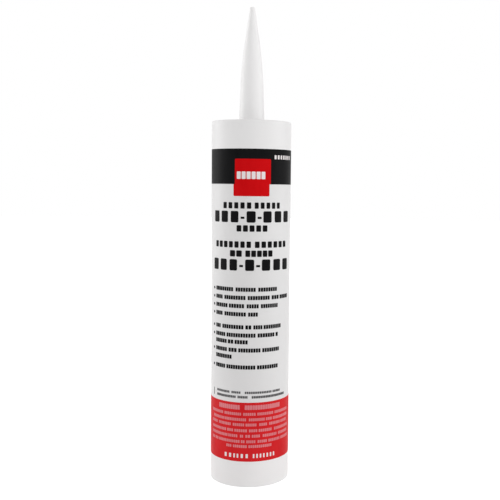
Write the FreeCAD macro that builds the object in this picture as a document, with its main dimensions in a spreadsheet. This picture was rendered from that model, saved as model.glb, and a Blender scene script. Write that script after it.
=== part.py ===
import FreeCAD, Part
import os
import Sketcher

# Caulking cartridge, standing nozzle up on the rim of its open rear end.
# Barrel, shoulder and nozzle are one moulding, and the nozzle's tip is closed.
# Inside are the column of sealant and the plunger that a caulking gun pushes
# forward. The print on the barrel is three thin fields of colour.
#
# Frame: millimetres, +Z up along the cartridge's axis. The origin is the
# centre of the rear rim, and the front of the print faces -Y.

document = FreeCAD.newDocument("caulking_cartridge")
sheet = document.addObject("Spreadsheet::Sheet", "sizes")

# Driving dimensions, in millimetres apart from the count of ribs

DIMENSIONS = {
    "barrel_diameter": (49.0, "outside of the barrel"),
    "barrel_wall": (1.35, "wall of the barrel"),
    "shoulder_height": (222.75, "rear rim to the top of the shoulder"),
    "shoulder_wall": (2.0, "end wall of the barrel, under the nozzle"),
    "shoulder_round": (0.8, "rounded edge of the shoulder"),
    "rim_bevel": (0.2, "bevel round the outside of the rear rim"),
    "mouth_depth": (12.0, "length of the wider mouth that guides the plunger in"),
    "mouth_relief": (0.2, "how much wider than the bore the mouth is, on radius"),
    "mouth_taper": (1.0, "length over which the mouth narrows to the bore"),
    "mouth_bevel": (0.15, "bevel round the inside of the rear rim"),
    "nozzle_length": (69.75, "shoulder to the tip"),
    "nozzle_base_diameter": (15.7, "nozzle where it leaves the shoulder"),
    "nozzle_knee_diameter": (13.0, "nozzle where its two tapers would meet"),
    "nozzle_knee_height": (35.55, "height of that place above the shoulder"),
    "nozzle_knee_round": (240.0, "large radius that blends the two tapers"),
    "nozzle_tip_diameter": (3.0, "blunt end of the nozzle"),
    "nozzle_wall": (1.2, "wall of the nozzle"),
    "nozzle_bore_tip": (1.2, "bore of the nozzle at its closed end"),
    "nozzle_cap": (2.0, "plastic that closes the tip, cut off before use"),
    "nozzle_root_bevel": (1.2, "sloping foot of the nozzle, on the shoulder"),
    "nozzle_tip_bevel": (0.4, "bevel round the tip"),
    "plunger_inset": (22.5, "rear of the plunger, from the rim"),
    "plunger_height": (20.0, "plunger, rear to front"),
    "plunger_clearance": (0.06, "running gap round the lips, on radius"),
    "plunger_wall": (1.6, "wall of the plunger's cup"),
    "plunger_web": (2.2, "front wall of the plunger"),
    "plunger_bevel": (0.8, "bevel round the front and rear of the plunger"),
    "lip_height": (2.5, "each of the two sealing lips"),
    "lip_relief": (0.7, "depth of the waist between the lips"),
    "cup_bevel": (1.5, "sloping corner inside the plunger's cup"),
    "rib_count": (8, "stiffening ribs behind the plunger's front wall"),
    "rib_width": (1.2, "thickness of a rib"),
    "rib_height": (4.0, "how far a rib stands off the front wall"),
    "hub_diameter": (12.0, "ring that the ribs run into"),
    "hub_wall": (1.4, "wall of that ring"),
    "sealant_side_gap": (0.1, "between the sealant and the bore"),
    "sealant_end_gap": (0.3, "between the sealant and what is at its ends"),
    "print_thickness": (0.08, "film of print on the barrel"),
    "dark_band_drop": (17.2, "upper edge of the dark band, below the shoulder"),
    "dark_band_height": (21.0, "height of the dark band"),
    "red_band_low": (15.95, "lower edge of the red band"),
    "red_band_height": (36.55, "height of the red band"),
    "emblem_drop": (7.15, "how far the red square reaches below the dark band"),
    "emblem_height": (22.15, "height of the red square"),
    "emblem_width": (22.15, "width of the red square, round the barrel"),
    "emblem_offset": (0.125, "centre of its lower part, from the front line"),
    "emblem_shift": (0.85, "how far the part on the dark band is printed aside"),
    "emblem_round": (0.7, "rounded corners of the red square"),
}

for row, (name, (value, note)) in enumerate(DIMENSIONS.items(), start=1):
    sheet.set(f"A{row}", note)
    sheet.set(f"B{row}", str(value))
    sheet.setAlias(f"B{row}", name)
document.recompute()

# Places that several pieces share, written once as formulas of the sheet

BARREL_R = "sizes.barrel_diameter / 2"
BORE_R = f"{BARREL_R} - sizes.barrel_wall"
PRINT_R = f"{BARREL_R} + sizes.print_thickness"
END_WALL_LOW = "sizes.shoulder_height - sizes.shoulder_wall"
PLUNGER_FRONT = "sizes.plunger_inset + sizes.plunger_height"
DARK_BAND_LOW = "sizes.shoulder_height - sizes.dark_band_drop - sizes.dark_band_height"

# How a sketch numbers its own origin and the two ends of an edge

SKETCH_ORIGIN = -1
START = 1
END = 2


def measure(formula):
    """The value of a formula of the sheet, as a plain number."""
    return float(sheet.evalExpression(formula))


def new_body(label):
    """A body whose label names the piece."""
    body = document.addObject("PartDesign::Body", label)
    body.Label = label
    return body


def origin_feature(body, role):
    """One of a body's own origin planes or axes."""
    return next(item for item in body.Origin.OriginFeatures if item.Role == role)


def outline(body, name, plane, corners, bends=None):
    """A closed sketch of straight edges, each named corner held by two formulas (across, up).

    bends names corners that become an arc of the given radius, tangent to both edges.
    """
    sketch = body.newObject("Sketcher::SketchObject", name)
    sketch.AttachmentSupport = [(origin_feature(body, plane), "")]
    sketch.MapMode = "FlatFace"
    points = [FreeCAD.Vector(measure(across), measure(up), 0) for across, up in corners.values()]
    for start, end in zip(points, points[1:] + points[:1]):
        sketch.addGeometry(Part.LineSegment(start, end), False)
    formulas = {}

    def hold(title, formula, *constraint):
        number = sketch.addConstraint(Sketcher.Constraint(*constraint, measure(formula)))
        sketch.renameConstraint(number, title)
        formulas[title] = formula

    for index, (corner, (across, up)) in enumerate(corners.items()):
        before = (index - 1) % len(corners)
        sketch.addConstraint(Sketcher.Constraint("Coincident", before, END, index, START))
        hold(f"{corner}_across", across, "DistanceX", SKETCH_ORIGIN, START, index, START)
        hold(f"{corner}_up", up, "DistanceY", SKETCH_ORIGIN, START, index, START)
    for index, corner in enumerate(corners):
        if bends and corner in bends:
            arc = sketch.GeometryCount
            sketch.fillet(index, START, measure(bends[corner]), True, True)
            hold(f"{corner}_bend", bends[corner], "Radius", arc)
    for title, formula in formulas.items():
        sketch.setExpression(f"Constraints.{title}", formula)
    return sketch


def revolved(body, name, corners, bends=None):
    """A full turn of an outline (radius, height) about the body's Z axis."""
    sketch = outline(body, name + "_outline", "XZ_Plane", corners, bends)
    turn = body.newObject("PartDesign::Revolution", name)
    turn.Profile = sketch
    turn.ReferenceAxis = (sketch, ["V_Axis"])
    turn.Angle = 360
    document.recompute()
    return turn


# Cartridge
# One moulding: a tube of even wall, a flat shoulder with a rounded edge, and a
# hollow nozzle. The nozzle is nearly a cylinder up to its knee and a steeper
# cone beyond, closed at the tip. The rear mouth is a little wider than the
# bore, so that the plunger starts without cutting its lips.

def make_cartridge():
    mouth_r = f"{BORE_R} + sizes.mouth_relief"
    shoulder = "sizes.shoulder_height"
    knee = f"{shoulder} + sizes.nozzle_knee_height"
    tip = f"{shoulder} + sizes.nozzle_length"
    base_r = "sizes.nozzle_base_diameter / 2"
    knee_r = "sizes.nozzle_knee_diameter / 2"
    tip_r = "sizes.nozzle_tip_diameter / 2"
    corners = {
        "tip_middle": ("0", tip),
        "tip_edge": (f"{tip_r} - sizes.nozzle_tip_bevel", tip),
        "tip_side": (tip_r, f"{tip} - sizes.nozzle_tip_bevel"),
        "outer_knee": (knee_r, knee),
        "nozzle_root": (base_r, f"{shoulder} + sizes.nozzle_root_bevel"),
        "root_foot": (f"{base_r} + sizes.nozzle_root_bevel", shoulder),
        "shoulder_edge": (BARREL_R, shoulder),
        "rim_side": (BARREL_R, "sizes.rim_bevel"),
        "rim_outside": (f"{BARREL_R} - sizes.rim_bevel", "0"),
        "rim_inside": (f"{mouth_r} + sizes.mouth_bevel", "0"),
        "mouth_start": (mouth_r, "sizes.mouth_bevel"),
        "mouth_end": (mouth_r, "sizes.mouth_depth"),
        "bore_start": (BORE_R, "sizes.mouth_depth + sizes.mouth_taper"),
        "bore_end": (BORE_R, END_WALL_LOW),
        "throat": (f"{base_r} - sizes.nozzle_wall", END_WALL_LOW),
        "inner_knee": (f"{knee_r} - sizes.nozzle_wall", knee),
        "bore_tip": ("sizes.nozzle_bore_tip / 2", f"{tip} - sizes.nozzle_cap"),
        "bore_tip_middle": ("0", f"{tip} - sizes.nozzle_cap"),
    }
    body = new_body("cartridge")
    revolved(body, "moulding", corners, {
        "outer_knee": "sizes.nozzle_knee_round",
        "shoulder_edge": "sizes.shoulder_round",
    })
    return body


# Plunger
# A soft cup, open to the rear and drawn from its rear rim. Two lips run on the
# bore with a waist between them. Ribs behind the front wall run from the cup's
# wall into a ring round the middle.

def make_plunger():
    lip_r = f"{BORE_R} - sizes.plunger_clearance"
    waist_r = f"{lip_r} - sizes.lip_relief"
    cup_r = f"{waist_r} - sizes.plunger_wall"
    hub_r = "sizes.hub_diameter / 2"
    hub_bore_r = f"{hub_r} - sizes.hub_wall"
    front = "sizes.plunger_height"
    web_low = f"{front} - sizes.plunger_web"
    rib_low = f"{web_low} - sizes.rib_height"
    front_lip_high = f"{front} - sizes.plunger_bevel"
    front_lip_low = f"{front_lip_high} - sizes.lip_height"
    rear_lip_high = "sizes.plunger_bevel + sizes.lip_height"

    body = new_body("plunger")
    body.setExpression("Placement.Base.z", "sizes.plunger_inset")
    revolved(body, "cup", {
        "front_middle": ("0", front),
        "front_edge": (f"{lip_r} - sizes.plunger_bevel", front),
        "front_lip_high": (lip_r, front_lip_high),
        "front_lip_low": (lip_r, front_lip_low),
        "waist_high": (waist_r, f"{front_lip_low} - sizes.lip_relief"),
        "waist_low": (waist_r, f"{rear_lip_high} + sizes.lip_relief"),
        "rear_lip_high": (lip_r, rear_lip_high),
        "rear_lip_low": (lip_r, "sizes.plunger_bevel"),
        "rear_edge": (f"{lip_r} - sizes.plunger_bevel", "0"),
        "cup_mouth": (cup_r, "0"),
        "cup_side": (cup_r, f"{web_low} - sizes.cup_bevel"),
        "cup_floor": (f"{cup_r} - sizes.cup_bevel", web_low),
        "hub_root": (hub_r, web_low),
        "hub_edge": (hub_r, rib_low),
        "hub_bore_edge": (hub_bore_r, rib_low),
        "hub_bore_root": (hub_bore_r, web_low),
        "web_middle": ("0", web_low),
    })

    # each rib starts inside the ring's wall and ends inside the cup's wall
    rib_start = f"{hub_r} - sizes.hub_wall / 2"
    rib_end = f"{cup_r} + sizes.plunger_wall / 2"
    half_width = "sizes.rib_width / 2"
    section = outline(body, "rib_outline", "XY_Plane", {
        "ring_right": (rib_start, f"-{half_width}"),
        "wall_right": (rib_end, f"-{half_width}"),
        "wall_left": (rib_end, half_width),
        "ring_left": (rib_start, half_width),
    })
    section.setExpression("AttachmentOffset.Base.z", rib_low)
    rib = body.newObject("PartDesign::Pad", "rib")
    rib.Profile = section
    rib.setExpression("Length", "sizes.rib_height + sizes.plunger_web / 2")
    document.recompute()
    ribs = body.newObject("PartDesign::PolarPattern", "ribs")
    ribs.Originals = [rib]
    ribs.Axis = (origin_feature(body, "Z_Axis"), [""])
    ribs.Angle = 360
    ribs.setExpression("Occurrences", "sizes.rib_count")
    body.Tip = ribs
    return body


# Sealant
# The column of paste between the plunger and the end wall. It is a soft solid,
# so it keeps a small gap to its neighbours.

def make_sealant():
    low = f"{PLUNGER_FRONT} + sizes.sealant_end_gap"
    high = f"{END_WALL_LOW} - sizes.sealant_end_gap"
    column = document.addObject("Part::Cylinder", "sealant")
    column.setExpression("Radius", f"{BORE_R} - sizes.sealant_side_gap")
    column.setExpression("Height", f"{high} - ({low})")
    column.setExpression("Placement.Base.z", low)
    return column


# Print
# Each field is a thin film: a sector of a cylinder less the barrel's own
# cylinder. A width round the barrel becomes an angle when divided by its radius.

ARC_TO_DEGREES = f"180 / pi / ({BARREL_R})"
FRONT_DEGREES = 270


def film(name, low, height, start="0", sweep="360"):
    """A film of print from a lower edge up, over a sweep of degrees from a start angle."""
    outer = document.addObject("Part::Cylinder", name + "_outer")
    outer.setExpression("Radius", PRINT_R)
    outer.setExpression("Height", height)
    outer.setExpression("Angle", sweep)
    outer.setExpression("Placement", f"placement(vector(0; 0; {low}); rotation(vector(0; 0; 1); {start}))")
    inner = document.addObject("Part::Cylinder", name + "_inner")
    inner.setExpression("Radius", BARREL_R)
    inner.setExpression("Height", height)
    inner.setExpression("Placement.Base.z", low)
    cut = document.addObject("Part::Cut", name)
    cut.Base = outer
    cut.Tool = inner
    return cut


def corner_edges(shape):
    """The numbers of the short radial edges at the red square's four corners."""
    tolerance = Part.Precision.confusion()
    lowest, highest = shape.BoundBox.ZMin, shape.BoundBox.ZMax
    found = []
    for number, edge in enumerate(shape.Edges, start=1):
        first, last = edge.Vertexes[0].Z, edge.Vertexes[-1].Z
        level = abs(last - first) < tolerance
        outermost = min(abs(first - lowest), abs(first - highest)) < tolerance
        if isinstance(edge.Curve, Part.Line) and level and outermost:
            found.append(number)
    return found


# Red square
# It is printed in two parts: the one on the dark band sits a little to the
# side of the one below it, as on the real print.

def make_emblem():
    sweep = f"sizes.emblem_width * {ARC_TO_DEGREES}"
    lower_start = f"{FRONT_DEGREES} + (sizes.emblem_offset - sizes.emblem_width / 2) * {ARC_TO_DEGREES}"
    upper_start = f"{lower_start} + sizes.emblem_shift * {ARC_TO_DEGREES}"
    low = f"{DARK_BAND_LOW} - sizes.emblem_drop"
    upper_height = "sizes.emblem_height - sizes.emblem_drop"
    square = document.addObject("Part::Fuse", "emblem_square")
    square.Base = film("emblem_lower", low, "sizes.emblem_drop", lower_start, sweep)
    square.Tool = film("emblem_upper", DARK_BAND_LOW, upper_height, upper_start, sweep)
    square.Refine = True
    document.recompute()
    emblem = document.addObject("Part::Fillet", "red_emblem")
    emblem.Base = square
    radius = measure("sizes.emblem_round")
    emblem.Edges = [(number, radius, radius) for number in corner_edges(square.Shape)]
    return emblem


def make_dark_band(emblem):
    band = document.addObject("Part::Cut", "dark_band")
    band.Base = film("dark_band_ring", DARK_BAND_LOW, "sizes.dark_band_height")
    band.Tool = emblem
    return band


emblem = make_emblem()
pieces = [
    make_cartridge(),
    make_plunger(),
    make_sealant(),
    emblem,
    make_dark_band(emblem),
    film("red_band", "sizes.red_band_low", "sizes.red_band_height"),
]
document.recompute()

# Check every object, then write each piece to a file named by its label

for item in document.Objects:
    if "Invalid" in item.State or "Error" in item.State:
        raise RuntimeError(f"{item.Label} failed: {item.State}")
for piece in pieces:
    if piece.Shape.isNull() or not piece.Shape.isValid():
        raise RuntimeError(f"{piece.Label} has no valid shape")

os.makedirs("parts", exist_ok=True)
for piece in pieces:
    piece.Shape.exportStep(f"parts/{piece.Label}.step")
    print(f"{piece.Label}: {len(piece.Shape.Solids)} solid, {piece.Shape.Volume / 1000:.2f} cm3")
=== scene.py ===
# %% [markdown]
# # A caulking cartridge, standing nozzle up
# The object is a white plastic cartridge for a caulking gun. Its barrel, shoulder and nozzle are one
# moulding, a plunger closes the open rear end, and the barrel is printed with a black band, a red square
# and a red band. The CAD model already says where everything is, so the first cell loads it as a fixed
# frame. Every piece below is then made in the same place, in finer mesh and with its real finish.

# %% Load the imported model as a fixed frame
import math

import bpy
import numpy as np
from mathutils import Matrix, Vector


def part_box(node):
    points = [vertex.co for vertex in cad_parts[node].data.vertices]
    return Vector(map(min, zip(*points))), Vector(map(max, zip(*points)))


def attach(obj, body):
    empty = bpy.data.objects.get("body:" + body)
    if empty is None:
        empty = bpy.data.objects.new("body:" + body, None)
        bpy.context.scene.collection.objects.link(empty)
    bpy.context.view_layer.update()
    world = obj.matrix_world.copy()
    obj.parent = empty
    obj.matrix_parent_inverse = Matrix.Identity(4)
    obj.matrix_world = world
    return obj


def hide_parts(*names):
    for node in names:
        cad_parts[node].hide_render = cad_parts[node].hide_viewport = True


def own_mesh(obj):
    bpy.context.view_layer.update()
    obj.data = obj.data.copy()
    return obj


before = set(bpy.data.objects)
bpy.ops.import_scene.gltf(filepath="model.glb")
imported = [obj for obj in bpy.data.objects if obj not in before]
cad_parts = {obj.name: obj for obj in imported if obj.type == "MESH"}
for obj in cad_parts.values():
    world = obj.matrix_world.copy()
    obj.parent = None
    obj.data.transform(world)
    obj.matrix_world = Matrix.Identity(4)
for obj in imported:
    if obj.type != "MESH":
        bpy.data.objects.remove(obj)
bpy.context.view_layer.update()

MM = 0.001

# %% [markdown]
# ## The sizes that several pieces share
# A lathe-turned shape needs only radii and heights, so a short list of sizes is enough for the whole
# cartridge. They are worked out in millimetres from the boxes of the CAD solids: typing them in again
# would be shorter, but then this script would no longer fit if the CAD model changed. The paste fills
# the barrel but for a small gap, so its size gives the bore and the end wall.

# %% Shared sizes
def round_size(node):
    """The radius, lowest height and highest height of a round CAD node, in mm to three decimals."""
    (_, _, low), (radius, _, high) = np.round(np.array(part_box(node)) / MM, 3).tolist()
    return radius, low, high


BARREL_R, _, TIP_Z = round_size("cartridge")
SEALANT_R, SEALANT_LOW, SEALANT_HIGH = round_size("sealant")
SIDE_GAP, END_GAP = 0.1, 0.3
BORE_R = SEALANT_R + SIDE_GAP
END_WALL_Z = SEALANT_HIGH + END_GAP
END_WALL = 2
SHOULDER_Z = END_WALL_Z + END_WALL
print("barrel radius", BARREL_R, "bore", round(BORE_R, 3), "shoulder", SHOULDER_Z, "tip", TIP_Z)

# %% [markdown]
# ## Turning an outline into a surface
# Round mouldings are bodies of revolution: one outline, turned about the axis. A modeller could also
# extrude circles by hand or use the Screw modifier, but a formula gives exact radii and lets every
# corner have its own rounding. Each rounded corner gets one more ring just beside the arc, so that the
# large flat faces next to it stay evenly shaded.

# %% Outline and lathe
ARC_STEPS = 6
HOLD = 0.05
SAME_PLACE = 1e-6


def rounded_outline(corners, closed=False):
    """Points (radius, height) of an outline whose corners (radius, height, rounding) are rounded.

    With h half of the angle between the two edges at a corner, the arc of radius q starts and ends
    q / tan(h) from the corner, and its centre lies q / sin(h) from it on the bisector. The arc's
    points turn evenly from its start to its end: a weighted sum of the two arms, with the weights
    sin((1 - t) * turn) / sin(turn) and sin(t * turn) / sin(turn) for t from 0 to 1.
    """
    table = np.array(corners, float)
    place, rounding = table[:, :2], table[:, 2:]
    back = np.roll(place, 1, axis=0) - place
    ahead = np.roll(place, -1, axis=0) - place
    back /= np.linalg.norm(back, axis=1, keepdims=True)
    ahead /= np.linalg.norm(ahead, axis=1, keepdims=True)
    half = np.arccos(np.clip((back * ahead).sum(axis=1, keepdims=True), -1, 1)) / 2
    bisector = back + ahead
    bisector /= np.maximum(np.linalg.norm(bisector, axis=1, keepdims=True), 1e-12)
    centre = place + bisector * rounding / np.sin(half)
    start = place + back * rounding / np.tan(half)
    end = place + ahead * rounding / np.tan(half)
    turn = np.maximum(math.pi - 2 * half, 1e-9)[:, None]
    t = np.linspace(0, 1, ARC_STEPS + 1)[None, :, None]
    first_arm, last_arm = (start - centre)[:, None], (end - centre)[:, None]
    arms = np.sin((1 - t) * turn) * first_arm + np.sin(t * turn) * last_arm
    arc = centre[:, None] + arms / np.sin(turn)
    beside = HOLD * (rounding > 0)
    lead_in = (start + back * beside)[:, None]
    lead_out = (end + ahead * beside)[:, None]
    path = np.concatenate([lead_in, arc, lead_out], axis=1)
    path = np.where(rounding[:, None] > 0, path, place[:, None])
    path = path.reshape(-1, 2)
    step = np.linalg.norm(np.diff(path, axis=0), axis=1)
    path = path[np.concatenate([[True], step > SAME_PLACE])]
    meets_itself = closed and np.linalg.norm(path[0] - path[-1]) < SAME_PLACE
    return path[:-1] if meets_itself else path


def lathe(path, around, closed=False):
    """Points and faces of an outline turned about Z.

    The point at turn a and outline place (r, z) is (r cos a, r sin a, z), for evenly spaced a. An end
    of the outline that lies on the axis becomes one point, closed by a fan of triangles.
    """
    pole_first = not closed and path[0, 0] < SAME_PLACE
    pole_last = not closed and path[-1, 0] < SAME_PLACE
    rings = path[int(pole_first):len(path) - int(pole_last)]
    angle = np.linspace(0, 2 * math.pi, around, endpoint=False)
    r, z = rings[:, :1], rings[:, 1:]
    grid = np.stack([r * np.cos(angle), r * np.sin(angle), z + 0 * angle], axis=-1)
    number = np.arange(len(rings) * around).reshape(len(rings), around)
    upper = number if closed else number[:-1]
    lower = np.roll(number, -1, axis=0) if closed else number[1:]
    quads = np.stack([upper, lower, np.roll(lower, -1, axis=1), np.roll(upper, -1, axis=1)], axis=-1)
    points = [grid.reshape(-1, 3)]
    faces = quads.reshape(-1, 4).tolist()
    if pole_first:
        points.append([[0, 0, path[0, 1]]])
        centre = np.full(around, number.size)
        faces += np.stack([centre, number[0], np.roll(number[0], -1)], axis=-1).tolist()
    if pole_last:
        points.append([[0, 0, path[-1, 1]]])
        centre = np.full(around, number.size + int(pole_first))
        faces += np.stack([centre, np.roll(number[-1], -1), number[-1]], axis=-1).tolist()
    return np.concatenate(points), faces


# %% [markdown]
# ## From points to a finished piece
# Every piece goes through one short function. It fills the mesh, smooths it except across real edges,
# lets the piece ride on its CAD body and gives it its material. It also prints the enclosed volume: a
# positive number means that all faces point outwards.

# %% Making a piece
CREASE = math.radians(32)
MM3_IN_CM3 = 1000


def new_piece(name, points, faces, body, slot, material):
    """A smooth mesh object at the origin, from points in millimetres, riding on a CAD body.

    Its volume is the sum, over all triangles (a, b, c), of a sixth of the box product a . (b x c).
    """
    mesh = bpy.data.meshes.new(name)
    mesh.from_pydata(np.asarray(points) * MM, [], faces)
    mesh.shade_smooth()
    mesh.set_sharp_from_angle(angle=CREASE)
    mesh.materials.append(material)
    piece = bpy.data.objects.new(name, mesh)
    bpy.context.scene.collection.objects.link(piece)
    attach(piece, body)
    mesh.calc_loop_triangles()
    corners = np.empty(len(mesh.loop_triangles) * 3, int)
    mesh.loop_triangles.foreach_get("vertices", corners)
    a, b, c = (np.asarray(points)[corners.reshape(-1, 3)[:, k]] for k in range(3))
    volume = (a * np.cross(b, c)).sum() / 6
    print(f"{name}: {len(corners) // 3} triangles, {volume / MM3_IN_CM3:.3f} cm3")
    return piece


# %% [markdown]
# ## Finishes
# All the finishes are plastics, inks or paste, so one helper makes a Principled material and a second
# adds a noise pattern in Object coordinates. Because every piece sits at the origin, those coordinates
# are metres on the real object, and one scale means the same grain size on every piece. Values that are
# the same all over a surface are set on the shader itself.

# %% Material helpers
NOISE_LOW, NOISE_HIGH = 0.3, 0.7


def new_finish(name, roughness, specular):
    """A Principled material with an even specular level, and its nodes."""
    material = bpy.data.materials.new(name)
    material.use_nodes = True
    nodes, links = material.node_tree.nodes, material.node_tree.links
    shader = nodes["Principled BSDF"]
    shader.inputs["Roughness"].default_value = roughness
    shader.inputs["Specular IOR Level"].default_value = specular
    return material, nodes, links, shader


def grain(nodes, links, size, stretch=(1, 1, 1), detail=3):
    """The factor output of a noise whose features are about size metres across, drawn out by stretch."""
    place = nodes.new("ShaderNodeTexCoord")
    mapping = nodes.new("ShaderNodeMapping")
    mapping.inputs["Scale"].default_value = [1 / (size * share) for share in stretch]
    noise = nodes.new("ShaderNodeTexNoise")
    noise.inputs["Scale"].default_value = 1
    noise.inputs["Detail"].default_value = detail
    links.new(place.outputs["Object"], mapping.inputs["Vector"])
    links.new(mapping.outputs["Vector"], noise.inputs["Vector"])
    return noise.outputs["Fac"]


def ramp(nodes, links, factor, low, high, start=NOISE_LOW, end=NOISE_HIGH):
    """A colour that runs from low to high while the factor runs from start to end."""
    node = nodes.new("ShaderNodeValToRGB")
    first, last = node.color_ramp.elements
    first.position, first.color = start, (*low, 1)
    last.position, last.color = end, (*high, 1)
    links.new(factor, node.inputs["Fac"])
    return node.outputs["Color"]


def between(nodes, links, factor, low, high):
    """A number that runs from low to high over the range that a noise mostly keeps to."""
    node = nodes.new("ShaderNodeMapRange")
    node.inputs["From Min"].default_value = NOISE_LOW
    node.inputs["From Max"].default_value = NOISE_HIGH
    node.inputs["To Min"].default_value = low
    node.inputs["To Max"].default_value = high
    links.new(factor, node.inputs["Value"])
    return node.outputs["Result"]


def relief(nodes, links, shader, heights):
    """Bumps laid over each other, from pairs of a factor and its height in metres."""
    normal = None
    for factor, height in heights:
        bump = nodes.new("ShaderNodeBump")
        bump.inputs["Strength"].default_value = 1
        bump.inputs["Distance"].default_value = height
        links.new(factor, bump.inputs["Height"])
        if normal is not None:
            links.new(normal, bump.inputs["Normal"])
        normal = bump.outputs["Normal"]
    links.new(normal, shader.inputs["Normal"])


# %% [markdown]
# ## White moulded plastic
# The cartridge is white polyethylene: satin, slightly soft to the light, and never quite even. A flat
# white would look like paper. So the colour drifts by a few percent over some centimetres, faint lines
# run along the barrel as they do on a drawn tube, a fine pebbled skin breaks up the highlights, and a
# little light is let into the wall. Light and shade are also painted into the colour by height: the
# white is a painted shade greyer between the two bands, and the nozzle is painted lightest, a painted
# glow for the light that passes through its plastic, which surrounds less paste.

# %% Painted light and shade that depend on the height
_, DARK_LOW, DARK_HIGH = round_size("dark_band")
_, RED_LOW, RED_HIGH = round_size("red_band")
NOZZLE_FOOT_Z = SHOULDER_Z + 0.75
# Painted light and shade: the white is lighter near the floor, a painted shade greyer between the bands,
# lighter above them, and lightest on the nozzle as a painted glow.
PAINTED_SHADE_ZONES = [(0.0, 0.97), (RED_HIGH, 0.855), (DARK_LOW, 0.935), (NOZZLE_FOOT_Z, 0.98)]


def painted_shade_steps(nodes, links, zones, top):
    """Painted shade: a grey that changes at each zone's lower height, for zones given as pairs of height and
    grey.

    The ramp needs a place from 0 to 1, so the height is divided by that of the tip.
    """
    place = nodes.new("ShaderNodeTexCoord")
    parts = nodes.new("ShaderNodeSeparateXYZ")
    share = nodes.new("ShaderNodeMath")
    share.operation = "DIVIDE"
    share.inputs[1].default_value = top * MM
    steps = nodes.new("ShaderNodeValToRGB")
    steps.color_ramp.interpolation = "CONSTANT"
    steps.color_ramp.elements.remove(steps.color_ramp.elements[1])
    for number, (low, tone) in enumerate(zones):
        stop = steps.color_ramp.elements.new(low / top) if number else steps.color_ramp.elements[0]
        stop.color = (tone, tone, tone, 1)
    links.new(place.outputs["Object"], parts.inputs["Vector"])
    links.new(parts.outputs["Z"], share.inputs[0])
    links.new(share.outputs["Value"], steps.inputs["Fac"])
    return steps.outputs["Color"]


print("white changes its tone at", [height for height, tone in PAINTED_SHADE_ZONES])

# %% White plastic
def make_white_plastic():
    """White polyethylene: cloudy colour, painted shade by height, lines along the barrel, pebbled skin, a
    little light let in.
    """
    material, nodes, links, shader = new_finish("white moulded polyethylene", 0.42, 0.32)
    cloud = grain(nodes, links, 0.03)
    lines = grain(nodes, links, 0.0012, stretch=(1, 1, 60), detail=2)
    skin = grain(nodes, links, 0.0009)
    plastic = ramp(nodes, links, cloud, (0.81, 0.802, 0.802), (0.84, 0.832, 0.831))
    # The painted light and shade by height multiply the plastic's colour.
    painted_shade_mix = nodes.new("ShaderNodeMix")
    painted_shade_mix.data_type = "RGBA"
    painted_shade_mix.blend_type = "MULTIPLY"
    painted_shade_mix.inputs["Factor"].default_value = 1
    links.new(plastic, painted_shade_mix.inputs["A"])
    links.new(painted_shade_steps(nodes, links, PAINTED_SHADE_ZONES, TIP_Z), painted_shade_mix.inputs["B"])
    links.new(painted_shade_mix.outputs["Result"], shader.inputs["Base Color"])
    links.new(between(nodes, links, lines, 0.36, 0.48), shader.inputs["Roughness"])
    relief(nodes, links, shader, [(skin, 0.000012), (lines, 0.000008)])
    shader.inputs["Subsurface Weight"].default_value = 0.08
    shader.inputs["Subsurface Radius"].default_value = (1, 1, 1)
    shader.inputs["Subsurface Scale"].default_value = 0.002
    return material


white_plastic = make_white_plastic()
print("made", white_plastic.name)

# %% [markdown]
# ## The cartridge
# Barrel, shoulder and nozzle are one moulding, so they are one surface here too, from the closed tip
# down the outside, round the rear rim and up the inside. The nozzle leaves the shoulder almost as a
# cylinder and bends into a cone at a large radius. The shoulder's edge, the nozzle's foot and the rim
# each have their own small rounding, which is where a moulding catches the light.

# %% Cartridge
AROUND = 256
TIP_R = 1.5
KNEE_R, KNEE_Z = 6.5, SHOULDER_Z + 35.55
FOOT_R = 7.85
NOZZLE_WALL = 1.2
CAP_LOW = TIP_Z - 2
MOUTH_R = BORE_R + 0.2
MOUTH_DEPTH = 12

cartridge_corners = [
    (0, TIP_Z, 0),
    (TIP_R, TIP_Z, 0.35),
    (KNEE_R, KNEE_Z, 240),
    (FOOT_R, SHOULDER_Z, 1.2),
    (BARREL_R, SHOULDER_Z, 0.8),
    (BARREL_R, 0, 0.2),
    (MOUTH_R, 0, 0.15),
    (MOUTH_R, MOUTH_DEPTH, 3),
    (BORE_R, MOUTH_DEPTH + 1, 3),
    (BORE_R, END_WALL_Z, 0.8),
    (FOOT_R - NOZZLE_WALL, END_WALL_Z, 0.5),
    (KNEE_R - NOZZLE_WALL, KNEE_Z, 60),
    (0.6, CAP_LOW, 0.2),
    (0, CAP_LOW, 0),
]
cartridge = new_piece(
    "cartridge_moulding", *lathe(rounded_outline(cartridge_corners), AROUND),
    "cartridge", "white_plastic", white_plastic,
)
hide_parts("cartridge")

# %% [markdown]
# ## Printing inks
# The bands are screen printed, so the ink is a thin satin film that follows the plastic. Black ink is
# a little uneven in depth and gloss, and red ink lets the white below it through where it is thin. In
# the photo the square's red is deeper than the band's, as two coats are deeper than one, so each has a
# red of its own. All of them reflect less than the bare plastic.

# %% Inks
def make_ink(name, thin, full, roughness, specular):
    """An ink whose depth drifts between two colours, with a fine grain in its gloss."""
    material, nodes, links, shader = new_finish(name, roughness, specular)
    depth = grain(nodes, links, 0.006, stretch=(1, 1, 3))
    speckle = grain(nodes, links, 0.0007)
    links.new(ramp(nodes, links, depth, full, thin), shader.inputs["Base Color"])
    links.new(between(nodes, links, speckle, roughness - 0.06, roughness + 0.06), shader.inputs["Roughness"])
    relief(nodes, links, shader, [(speckle, 0.000006)])
    return material


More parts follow.
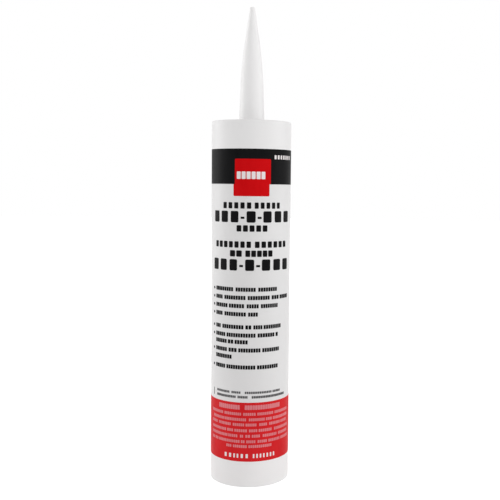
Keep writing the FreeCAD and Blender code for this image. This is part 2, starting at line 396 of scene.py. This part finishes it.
black_ink = make_ink("satin black ink", (0.005, 0.005, 0.0055), (0.002, 0.002, 0.0025), 0.5, 0.05)
red_ink = make_ink("satin red ink", (0.585, 0.004, 0.006), (0.54, 0.002, 0.004), 0.5, 0.03)
light_red_ink = make_ink("lighter red ink", (0.64, 0.018, 0.022), (0.58, 0.012, 0.016), 0.5, 0.06)
grey_ink = make_ink("black ink in fine strokes", (0.10, 0.098, 0.10), (0.07, 0.069, 0.07), 0.5, 0.15)
pink_ink = make_ink("plastic between fine strokes", (0.68, 0.22, 0.24), (0.62, 0.17, 0.19), 0.5, 0.2)
pale_ink = make_ink("bare plastic in a printed field", (0.79, 0.74, 0.74), (0.74, 0.69, 0.69), 0.45, 0.3)
print("made six inks")

# %% [markdown]
# ## The two printed bands
# Each band is a ring of film round the barrel. Painting it into the plastic's material would be lighter,
# but a film of its own keeps a crisp edge at any distance and can be taken off without touching the
# moulding. It is a closed ring, a few hundredths of a millimetre thick.

# %% Bands
BAND_FILM = 0.05


def ring(low, high):
    """A thin ring of film on the barrel, from one height to another."""
    inner, outer = BARREL_R, BARREL_R + BAND_FILM
    corners = [(outer, high, 0), (outer, low, 0), (inner, low, 0), (inner, high, 0)]
    return lathe(rounded_outline(corners, closed=True), AROUND, closed=True)


dark_band = new_piece(
    "black_band", *ring(DARK_LOW, DARK_HIGH),
    "cartridge", "dark_print", black_ink,
)
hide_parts("dark_band")
red_band = new_piece(
    "red_lower_band", *ring(RED_LOW, RED_HIGH),
    "cartridge", "red_print", light_red_ink,
)
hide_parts("red_band")

# %% [markdown]
# ## Films that cover part of the barrel
# A printed shape is flat artwork bent round the barrel. Its width is therefore given as a length round
# the barrel from the front line, and a formula bends it: that length divided by the radius is an angle.
# Many shapes are worked out in one array, with closely spaced columns in the rounded corners.

# %% Bent films
CORNER_COLUMNS = 4


def bent_films(shapes, inner, outer, middle_columns):
    """Points and faces of thin closed films bent round the barrel.

    A shape is (left, right, bottom, top, lower corner, upper corner). A column stands s from the front
    line, where d is how far it has come into a corner of radius c, and there the edge is drawn in by
    c - sqrt(c * c - d * d). The point at s and height z is (R sin(s / B), -R cos(s / B), z), with B the
    barrel's radius and R the radius of the film's face.
    """
    left, right, bottom, top, low_corner, high_corner = np.array(shapes, float).T[:, :, None]
    corner = np.maximum(low_corner, high_corner)
    quarter = corner * (1 - np.cos(np.linspace(0, math.pi / 2, CORNER_COLUMNS)))
    middle = np.linspace(0, 1, middle_columns + 2)[1:-1]
    middle = left + corner + (right - left - 2 * corner) * middle
    s = np.concatenate([left + quarter, middle, right - quarter[:, ::-1]], axis=1)

    def drawn_in(c):
        d = np.clip(np.maximum(left + c - s, s - right + c), 0, c)
        return c - np.sqrt(np.maximum(c * c - d * d, 0))

    low, high = bottom + drawn_in(low_corner), top - drawn_in(high_corner)
    angle = s / BARREL_R
    radius = np.array([outer, outer, inner, inner])
    z = np.stack([low, high, high, low], axis=-1)
    points = np.stack([radius * np.sin(angle)[..., None], -radius * np.cos(angle)[..., None], z], axis=-1)
    films, columns = s.shape
    number = np.arange(films * columns * 4).reshape(films, columns, 4)
    here, there = number[:, :-1], number[:, 1:]
    sides = np.stack([here, there, np.roll(there, -1, axis=2), np.roll(here, -1, axis=2)], axis=-1)
    caps = np.concatenate([number[:, 0], number[:, -1, ::-1]])
    return points.reshape(-1, 3), sides.reshape(-1, 4).tolist() + caps.tolist()


# %% [markdown]
# ## The red square
# It is printed in two steps that don't quite meet: the part on the black band sits a little to the right
# of the part below it. That small slip of the press is copied, because it is one of the things that make
# the tube look printed.

# %% Red square
SQUARE_FILM = 0.06
SQUARE_ROUND = 0.7
SQUARE_MIDDLE = 0.125
SLIP = 0.85
_, SQUARE_LOW, SQUARE_HIGH = round_size("red_emblem")

half_width = (SQUARE_HIGH - SQUARE_LOW) / 2
square_left = SQUARE_MIDDLE - half_width
square_right = SQUARE_MIDDLE + half_width
square = [
    (square_left, square_right, SQUARE_LOW, DARK_LOW, SQUARE_ROUND, 0),
    (square_left + SLIP, square_right + SLIP, DARK_LOW, SQUARE_HIGH, 0, SQUARE_ROUND),
]
emblem = new_piece(
    "red_square", *bent_films(square, BARREL_R, BARREL_R + SQUARE_FILM, middle_columns=40),
    "cartridge", "red_print", red_ink,
)
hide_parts("red_emblem")

# %% [markdown]
# ## Plain blocks where the tube is lettered
# The real tube carries lettering. Here its place is taken by runs of plain, equal blocks, one run for
# each word, so the print keeps its rhythm and its weight from a step away and says nothing. A run could
# be an Array modifier on one block, but a formula fits the blocks exactly between two ends and bends
# all of them round the barrel in one array. Blocks of one ink are one piece.

# %% Runs of blocks
PRINT_TOP = BARREL_R + 0.08
CORNER_SHARE = 0.16


def run(low, height, pitch, inked, *spans):
    """Blocks of a height above a low edge that fill each span, a left and a right end.

    A span of length L holds n = round(L / pitch) blocks, but at least one. The blocks stand d apart,
    each is the inked share of d wide, and the first and the last one end where the span does, so
    d = L / (n - 1 + inked).
    """
    shapes = []
    for left, right in spans:
        count = max(1, round((right - left) / pitch))
        apart = (right - left) / (count - 1 + inked)
        starts = left + np.arange(count) * apart
        corner = CORNER_SHARE * min(apart * inked, height)
        shapes += [(start, start + apart * inked, low, low + height, corner, corner) for start in starts]
    return shapes


print("blocks stand", round(PRINT_TOP - BARREL_R, 3), "mm proud of the barrel")

# %% [markdown]
# The bold lines come first. The longest one is printed twice, the second time a little to the left, so
# its blocks and the two short dashes between them are written once and placed twice.

# %% Bold lines in black
bold = []
for low, aside in ((161.7, 0.0), (132.8, -0.7)):
    words = np.array([(-26.8, -7.7), (-2.7, 2.7), (7.4, 28.1)]) + aside
    dashes = np.array([(-6.3, -4.0), (3.9, 6.3)]) + aside
    bold += run(low, 6.8, 7, 0.71, *words) + run(low + 2.2, 1.3, 3, 1, *dashes)
bold += run(170.0, 3.7, 3.6, 0.65, (-18.2, 0.0), (2.1, 19.0))
bold += run(156.3, 3.8, 3.8, 0.74, (-8.8, 10.0))
bold += run(146.6, 3.8, 3.7, 0.7, (-25.1, 0.0), (2.4, 25.1))
bold += run(141.2, 3.8, 3.7, 0.82, (-13.1, -5.5), (-3.3, 13.6))
new_piece(
    "bold_blocks", *bent_films(bold, BARREL_R, PRINT_TOP, middle_columns=8),
    "cartridge", "dark_print", black_ink,
)

# %% [markdown]
# The smaller lines stand in a column with a round dot in front of most of them. Each line is written
# here as its lower edge and the left and right ends of its words. The two smallest lines use a lighter
# ink, because fine lettering covers only part of its line. A thin upright bar stands before them.

# %% Small lines in black
SMALL_LINES = [
    (120.2, (-24.8, -10.9), (-9.2, 3.0), (4.6, 17.2)),
    (115.2, (-24.8, -18.7), (-17.1, -3.1), (-1.7, 11.9), (13.4, 18.7), (19.7, 28.0)),
    (110.2, (-24.8, -14.8), (-13.7, -3.9), (-2.3, 4.9), (6.3, 18.0)),
    (105.2, (-24.8, -18.7), (-17.0, -2.8), (-1.4, 4.4)),
    (97.4, (-24.8, -20.3), (-18.7, -4.2), (-3.0, 0.5), (1.8, 7.3), (8.1, 20.8)),
    (92.4, (-24.8, -16.4), (-15.3, 3.1), (4.4, 15.5), (16.6, 18.3)),
    (88.3, (-24.8, -15.3), (-14.3, -10.6), (-9.7, -1.6)),
    (83.3, (-24.8, -15.1), (-13.8, -8.4), (-7.3, 6.2), (7.4, 19.4)),
    (79.0, (-24.8, -11.7)),
    (72.9, (-24.8, -16.4), (-15.3, 3.1), (4.2, 18.4)),
]
DOT_HEIGHTS = (121.3, 116.3, 111.3, 106.4, 98.6, 93.5, 84.4, 74.1)
DOT_R = 0.8
DOT_MIDDLE = -27.2
DOT_ROUND = 0.9 * DOT_R

dots = [(DOT_MIDDLE - DOT_R, DOT_MIDDLE + DOT_R, z - DOT_R, z + DOT_R) for z in DOT_HEIGHTS]
small = [(*dot, DOT_ROUND, DOT_ROUND) for dot in dots]
for low, *words in SMALL_LINES:
    small += run(low, 2.45, 1.55, 0.83, *words)
new_piece(
    "small_blocks", *bent_films(small, BARREL_R, PRINT_TOP, middle_columns=2),
    "cartridge", "dark_print", black_ink,
)

# %% Smallest lines
smallest = run(57.9, 1.4, 1.1, 0.8, (-23.4, -13.1), (-11.6, -5.8), (-3.1, 13.8), (14.6, 20.5))
smallest += run(55.1, 1.5, 1.1, 0.84, (-23.4, -8.8), (-7.6, -1.4), (1.1, 24.9))
smallest += run(54.9, 4.4, 4, 1, (-27.3, -26.7))
new_piece(
    "smallest_blocks", *bent_films(smallest, BARREL_R, PRINT_TOP, middle_columns=2),
    "cartridge", "dark_print", grey_ink,
)

# %% [markdown]
# On the coloured fields the lettering is bare plastic, left out of the ink. The bold lines read as
# almost white, and the fine ones as pink, because each pink block stands for thin strokes with red
# between them. In the red square, one row of equal blocks takes the place of what is printed there.

# %% Pale lines on the colours
pale = run(187.6, 4.4, 2.9, 0.8, (-8.8, 8.4))
pale += run(199.6, 2.4, 2.3, 0.6, (14.6, 30.4))
pale += run(18.2, 2.5, 2.0, 0.46, (-16.3, -11.6), (-10.1, -6.9), (-5.4, -1.0), (2.0, 9.4), (10.7, 16.3))
new_piece(
    "pale_blocks", *bent_films(pale, BARREL_R, PRINT_TOP, middle_columns=24),
    "cartridge", "white_plastic", pale_ink,
)

# %% Fine lines on the red band
FINE_LINES = [
    (44.5, (-28.8, -17.8), (-16.6, -5.3), (-4.0, 3.5), (4.6, 15.2), (16.3, 29.1)),
    (41.1, (-27.5, -16.7), (-16.2, -2.3), (-0.5, 9.3), (10.1, 14.1), (15.0, 29.1)),
    (37.9, (-28.8, -23.0), (-21.4, -12.0), (-10.6, -3.4), (-2.5, 4.1), (5.8, 10.8), (12.4, 20.7),
     (21.6, 28.0)),
    (34.3, (-28.8, -15.4), (-14.5, -10.4), (-9.5, -1.7), (-0.4, 4.6), (5.5, 14.1), (16.0, 30.2)),
    (30.9, (-28.8, -14.3), (-13.7, -7.6), (-5.9, -4.0), (-2.6, 0.2), (1.3, 6.3), (8.1, 18.0),
     (19.4, 29.1)),
    (27.5, (-28.8, -26.0), (-25.1, -22.0), (-21.2, -6.2), (-5.3, -3.1), (-2.0, 3.5), (4.9, 10.8),
     (11.9, 20.7), (21.6, 30.2)),
    (24.5, (-15.1, -11.5), (-10.4, -1.7), (-0.7, 14.1)),
]
fine = run(48.1, 2.8, 1.55, 0.88, (-21.2, -6.2), (-3.1, 20.5))
for low, *words in FINE_LINES:
    fine += run(low, 1.75, 1.2, 0.78, *words)
new_piece(
    "fine_blocks", *bent_films(fine, BARREL_R, PRINT_TOP, middle_columns=2),
    "cartridge", "red_print", pink_ink,
)

# %% [markdown]
# ## The plunger
# It is seen only from below, through the open rear end: a soft cup with two sealing lips and ribs that
# stiffen its front wall. The cup is turned like the barrel. The eight ribs are a formula too: one
# tapered bar, copied by turning its points through equal angles.

# %% Plunger plastic
def make_plunger_plastic():
    """Uncoloured polyethylene: cloudy, softer to the light than the barrel, with a pebbled skin."""
    material, nodes, links, shader = new_finish("natural polyethylene", 0.5, 0.35)
    cloud = grain(nodes, links, 0.012)
    skin = grain(nodes, links, 0.0008)
    links.new(ramp(nodes, links, cloud, (0.70, 0.70, 0.67), (0.76, 0.76, 0.73)), shader.inputs["Base Color"])
    links.new(between(nodes, links, skin, 0.45, 0.6), shader.inputs["Roughness"])
    relief(nodes, links, shader, [(skin, 0.00002)])
    shader.inputs["Subsurface Weight"].default_value = 0.2
    shader.inputs["Subsurface Radius"].default_value = (1, 0.95, 0.85)
    shader.inputs["Subsurface Scale"].default_value = 0.003
    return material


plunger_plastic = make_plunger_plastic()
print("made", plunger_plastic.name)

# %% Plunger cup
LIP_R, PLUNGER_LOW, PLUNGER_HIGH = round_size("plunger")
RELIEF = 0.7
WAIST_R = LIP_R - RELIEF
CUP_R = WAIST_R - 1.6
RING_R, RING_BORE_R = 6, 4.6
FRONT = PLUNGER_HIGH - PLUNGER_LOW
WEB = FRONT - 2.2
RIB_LOW = WEB - 4
BEVEL = 0.8
LIP = 2.5

plunger_corners = [
    (0, FRONT, 0),
    (LIP_R - BEVEL, FRONT, 0.3),
    (LIP_R, FRONT - BEVEL, 0.25),
    (LIP_R, FRONT - BEVEL - LIP, 0.25),
    (WAIST_R, FRONT - BEVEL - LIP - RELIEF, 0.3),
    (WAIST_R, BEVEL + LIP + RELIEF, 0.3),
    (LIP_R, BEVEL + LIP, 0.25),
    (LIP_R, BEVEL, 0.25),
    (LIP_R - BEVEL, 0, 0.25),
    (CUP_R, 0, 0.4),
    (CUP_R, WEB, 1.5),
    (RING_R, WEB, 0.4),
    (RING_R, RIB_LOW, 0.3),
    (RING_BORE_R, RIB_LOW, 0.3),
    (RING_BORE_R, WEB, 0.4),
    (0, WEB, 0),
]
cup_points, cup_faces = lathe(rounded_outline(plunger_corners) + [0, PLUNGER_LOW], around=192)
print("the cup's outline has", len(plunger_corners), "corners")

# %% Ribs and the whole plunger
EDGE_BEVEL = (0.15, 0.25)


def turned_ribs(count, inner, outer, low, high, foot, edge):
    """Bars that run outwards from the axis, thicker at their foot than at their free edge.

    A bar's section has six corners (w, z): w is half the foot's thickness at the high foot and half
    the edge's thickness near the low free edge, whose two corners are bevelled. It is the same at the
    bar's inner and outer end. Rib k is that bar turned by k / count turns.
    """
    across, upwards = EDGE_BEVEL
    half_foot, half_edge = foot / 2, edge / 2
    w = np.array([half_foot, half_edge, half_edge - across])
    w = np.concatenate([-w, w[::-1]])
    z = np.array([high, low + upwards, low, low, low + upwards, high])
    x, y, z = np.broadcast_arrays(np.array([[inner], [outer]]), w, z)
    angle = (np.arange(count) * 2 * math.pi / count)[:, None, None]
    turned_x = x * np.cos(angle) - y * np.sin(angle)
    turned_y = x * np.sin(angle) + y * np.cos(angle)
    points = np.stack([turned_x, turned_y, z + 0 * angle], axis=-1)
    number = np.arange(points[..., 0].size).reshape(count, 2, len(w))
    near, far = number[:, 0], number[:, 1]
    sides = np.stack([near, np.roll(near, -1, axis=1), np.roll(far, -1, axis=1), far], axis=-1)
    caps = np.concatenate([near[:, ::-1], far])
    return points.reshape(-1, 3), sides.reshape(-1, 4).tolist() + caps.tolist()


rib_points, rib_faces = turned_ribs(
    count=8, inner=(RING_R + RING_BORE_R) / 2, outer=CUP_R + 0.8,
    low=PLUNGER_LOW + RIB_LOW, high=PLUNGER_LOW + WEB + 1.1, foot=1.3, edge=1.1,
)
offset = len(cup_points)
plunger = new_piece(
    "plunger_cup", np.concatenate([cup_points, rib_points]),
    cup_faces + [[index + offset for index in face] for face in rib_faces],
    "plunger", "plunger_plastic", plunger_plastic,
)
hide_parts("plunger")

# %% [markdown]
# ## The sealant
# The paste fills the barrel between the plunger and the end wall. Its ends are gently rounded, as a soft
# mass against a wall is. When the plunger slides forward the paste would leave through the cut nozzle.

# %% Sealant
def make_paste():
    """White latex paste, wet and a little streaky."""
    material, nodes, links, shader = new_finish("white sealant paste", 0.25, 0.5)
    swirl = grain(nodes, links, 0.01, stretch=(1, 1, 2))
    links.new(ramp(nodes, links, swirl, (0.78, 0.78, 0.75), (0.84, 0.84, 0.81)), shader.inputs["Base Color"])
    links.new(between(nodes, links, swirl, 0.2, 0.35), shader.inputs["Roughness"])
    relief(nodes, links, shader, [(swirl, 0.0002)])
    return material


PASTE_ROUND = 1.5
sealant_corners = [
    (0, SEALANT_HIGH, 0),
    (SEALANT_R, SEALANT_HIGH, PASTE_ROUND),
    (SEALANT_R, SEALANT_LOW, PASTE_ROUND),
    (0, SEALANT_LOW, 0),
]
sealant = new_piece(
    "sealant_column", *lathe(rounded_outline(sealant_corners), around=128),
    "cartridge", "sealant_paste", make_paste(),
)
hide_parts("sealant")
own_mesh(sealant)

# %% [markdown]
# ## Floor and background
# The tube stands on a plain pale floor before a white background. The floor is a large disc that keeps
# the soft shadow of the object. For the camera and for reflections it also gives off a little light, so
# that it reaches the background's white without any more light falling on the tube. The disc has a hole
# under the tube and is clear from its back, so that the plunger can be looked at from below.

# %% White for the camera
def seen_directly(nodes, links):
    """1 for camera, glossy and transmission rays, and 0 for the rays that light the object."""
    path = nodes.new("ShaderNodeLightPath")
    total = path.outputs["Is Camera Ray"]
    for name in ("Is Glossy Ray", "Is Transmission Ray"):
        largest = nodes.new("ShaderNodeMath")
        largest.operation = "MAXIMUM"
        links.new(total, largest.inputs[0])
        links.new(path.outputs[name], largest.inputs[1])
        total = largest.outputs["Value"]
    return total


# %% Floor material
def make_floor_material():
    """A matte white that gives off more light further away, and is clear from its back.

    The light given off goes from the near grey at 0.1 m to the far grey at 1 m from the tube.
    """
    material = bpy.data.materials.new("pale floor")
    material.use_nodes = True
    nodes, links = material.node_tree.nodes, material.node_tree.links
    nodes.remove(nodes["Principled BSDF"])
    matte = nodes.new("ShaderNodeBsdfDiffuse")
    matte.inputs["Color"].default_value = (0.93, 0.93, 0.93, 1)
    place = nodes.new("ShaderNodeTexCoord")
    away = nodes.new("ShaderNodeVectorMath")
    away.operation = "LENGTH"
    links.new(place.outputs["Object"], away.inputs[0])
    near_grey, far_grey = (0.36, 0.36, 0.36), (0.85, 0.85, 0.85)
    lift = nodes.new("ShaderNodeEmission")
    links.new(ramp(nodes, links, away.outputs["Value"], near_grey, far_grey, 0.1, 1.0), lift.inputs["Color"])
    links.new(seen_directly(nodes, links), lift.inputs["Strength"])
    both = nodes.new("ShaderNodeAddShader")
    links.new(matte.outputs["BSDF"], both.inputs[0])
    links.new(lift.outputs["Emission"], both.inputs[1])
    clear = nodes.new("ShaderNodeBsdfTransparent")
    side = nodes.new("ShaderNodeNewGeometry")
    one_sided = nodes.new("ShaderNodeMixShader")
    links.new(side.outputs["Backfacing"], one_sided.inputs["Fac"])
    links.new(both.outputs["Shader"], one_sided.inputs[1])
    links.new(clear.outputs["BSDF"], one_sided.inputs[2])
    links.new(one_sided.outputs["Shader"], nodes["Material Output"].inputs["Surface"])
    return material


floor_material = make_floor_material()
print("made", floor_material.name)

# %% Floor
HOLE_R = BARREL_R - 0.2
NEAR_R = 400
FLOOR_R = 4000

floor_points, floor_faces = lathe(np.array([[HOLE_R, 0], [NEAR_R, 0], [FLOOR_R, 0]]), around=96)
floor_mesh = bpy.data.meshes.new("floor")
floor_mesh.from_pydata(floor_points * MM, [], floor_faces)
floor_mesh.materials.append(floor_material)
floor = bpy.data.objects.new("floor", floor_mesh)
bpy.context.scene.collection.objects.link(floor)
print("floor has", len(floor_faces), "faces")

# %% World
def make_world(strength):
    """Even white light of a given strength, which looks plain white to the camera."""
    world = bpy.data.worlds.new("studio")
    world.use_nodes = True
    nodes, links = world.node_tree.nodes, world.node_tree.links
    around = nodes["Background"]
    around.inputs["Color"].default_value = (1, 1, 1, 1)
    around.inputs["Strength"].default_value = strength
    white = nodes.new("ShaderNodeBackground")
    white.inputs["Color"].default_value = (1, 1, 1, 1)
    white.inputs["Strength"].default_value = 1
    choice = nodes.new("ShaderNodeMixShader")
    links.new(seen_directly(nodes, links), choice.inputs["Fac"])
    links.new(around.outputs["Background"], choice.inputs[1])
    links.new(white.outputs["Background"], choice.inputs[2])
    links.new(choice.outputs["Shader"], nodes["World Output"].inputs["Surface"])
    return world


WORLD_LIGHT = 0.65
bpy.context.scene.world = make_world(WORLD_LIGHT)
print("world light is", WORLD_LIGHT)

# %% [markdown]
# ## Light
# The photo's light is soft and comes from both sides: the tube is brightest at its edges, more so on the
# right, darkest a little left of its middle, and brighter near its top. An even world light carries
# most of it. Two large soft boxes beside the tube and a third one above the camera do the rest, each
# of them well clear of the view.

# %% Soft boxes
AIM = (0, 0, 0.14)
BOX_SIZE = 0.9


def soft_box(name, place, power):
    """A square area light at a place in metres, turned so that it shines at the middle of the tube.

    A lamp shines along its own -Z. Tilted about X by the angle between straight down and the line
    to its aim, and then turned about Z by the line's compass direction, it points along that line.
    """
    light = bpy.data.lights.new(name, "AREA")
    light.shape = "SQUARE"
    light.size = BOX_SIZE
    light.energy = power
    box = bpy.data.objects.new(name, light)
    x, y, z = np.array(AIM) - place
    box.location = place
    box.rotation_euler = (math.atan2(math.hypot(x, y), -z), 0, math.atan2(y, x) - math.pi / 2)
    bpy.context.scene.collection.objects.link(box)
    print(name, "stands", round(math.dist(place, AIM), 2), "m away")


soft_box("left_soft_box", (-1.3, 0.45, 0.5), 6.7)
soft_box("right_soft_box", (1.35, -0.2, 0.4), 4.6)
soft_box("upper_soft_box", (0.3, -1.0, 1.0), 3.8)

# %% [markdown]
# ## Camera
# The camera's place was worked out from the photo itself: the outlines of the tube and the ellipses of
# its printed bands fix the distance, the height and the small tilts. A short sideways shift stands for
# the way the photo was cropped. The axes of the camera are built from its three angles as plain vectors.

# %% Camera
CAMERA_AWAY = 0.5209
CAMERA_HEIGHT = 0.1847
YAW, PITCH, ROLL = (math.radians(angle) for angle in (4.13, 4.49, 0.72))
FOCAL_PIXELS = 831.9
AXIS_PIXEL = 310.8
IMAGE_PIXELS = 500

right = np.array([math.cos(YAW), -math.sin(YAW), 0])
forward = np.array([math.sin(YAW) * math.cos(PITCH), math.cos(YAW) * math.cos(PITCH), -math.sin(PITCH)])
up = np.cross(right, forward)
tilted_right = right * math.cos(ROLL) + up * math.sin(ROLL)
tilted_up = up * math.cos(ROLL) - right * math.sin(ROLL)

lens = bpy.data.cameras.new("camera")
lens.sensor_fit = "HORIZONTAL"
lens.sensor_width = 36
lens.lens = FOCAL_PIXELS / IMAGE_PIXELS * lens.sensor_width
lens.shift_x = (IMAGE_PIXELS / 2 - AXIS_PIXEL) / IMAGE_PIXELS
lens.clip_start = 0.01
camera = bpy.data.objects.new("camera", lens)
place = np.eye(4)
place[:3, 0], place[:3, 1], place[:3, 2] = tilted_right, tilted_up, -forward
place[:3, 3] = (0, -CAMERA_AWAY, CAMERA_HEIGHT)
bpy.context.scene.collection.objects.link(camera)
camera.matrix_world = place.T.tolist()
bpy.context.scene.camera = camera
print("lens", round(lens.lens, 2), "mm, shift", round(lens.shift_x, 4))

# %% [markdown]
# ## Finish
# The look is left at the plain Standard view, so that colours come out as they were written.

# %% Look and finish
bpy.context.scene.view_settings.view_transform = "Standard"
